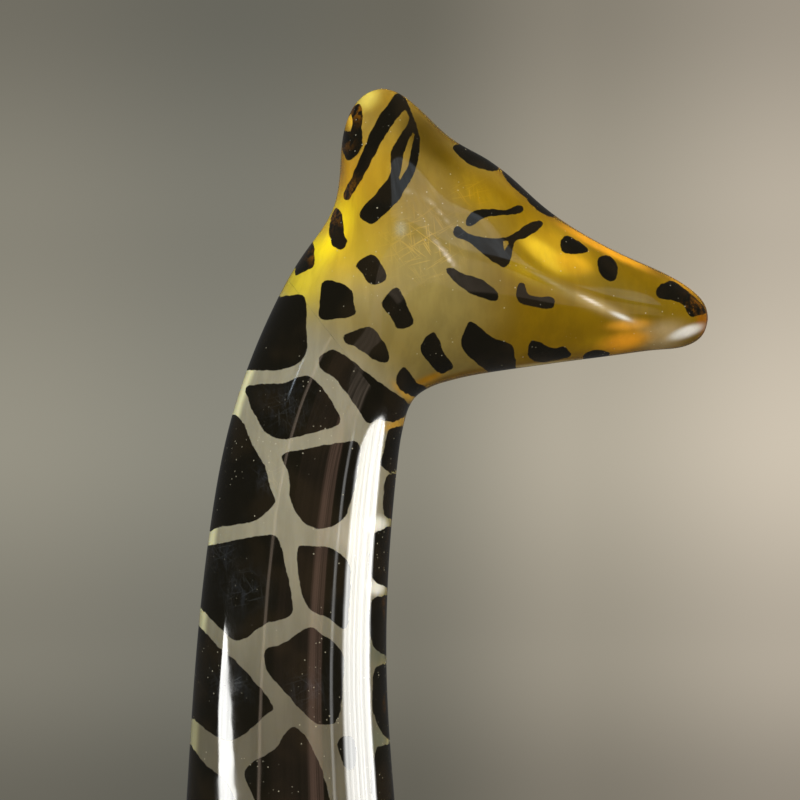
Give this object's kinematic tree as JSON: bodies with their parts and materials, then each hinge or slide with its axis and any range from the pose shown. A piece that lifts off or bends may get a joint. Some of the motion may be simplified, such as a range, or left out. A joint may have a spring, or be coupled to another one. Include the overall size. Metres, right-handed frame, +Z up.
{
  "type": "giraffe statue",
  "caption": "Standing giraffe statue of polished tinted clear resin with dark painted markings, doweled together and screwed to an oval wooden plinth.",
  "frame": {"origin": "centre of the felt's underside, on the surface that the statue stands on", "axes": "+X the way the giraffe faces, +Y to its left, +Z up"},
  "size_m": [0.2216, 0.108, 0.5285],
  "materials": {
    "amber_resin": "polished translucent amber resin, cloudy inside, painted markings under a clear gloss",
    "clear_resin": "polished translucent smoky clear resin, painted markings under a clear gloss",
    "dowel_resin": "clear acrylic rod",
    "dark_wood": "dark stained hardwood, satin varnish",
    "felt": "dark green baize",
    "steel": "zinc-plated machine screws",
    "brass": "turned brass bushes"
  },
  "bodies": {
    "root": {"head": "amber_resin", "neck": "clear_resin", "body": "clear_resin", "tail": "clear_resin", "fore_left_leg": "clear_resin", "fore_right_leg": "clear_resin", "hind_left_leg": "clear_resin", "hind_right_leg": "clear_resin", "head_dowel": "dowel_resin", "neck_dowel": "dowel_resin", "fore_left_dowel": "dowel_resin", "fore_right_dowel": "dowel_resin", "hind_left_dowel": "dowel_resin", "hind_right_dowel": "dowel_resin", "plinth": "dark_wood", "felt": "felt", "fore_left_screw": "steel", "fore_right_screw": "steel", "hind_left_screw": "steel", "hind_right_screw": "steel", "fore_left_insert": "brass", "fore_right_insert": "brass", "hind_left_insert": "brass", "hind_right_insert": "brass"}
  },
  "joints": []
}
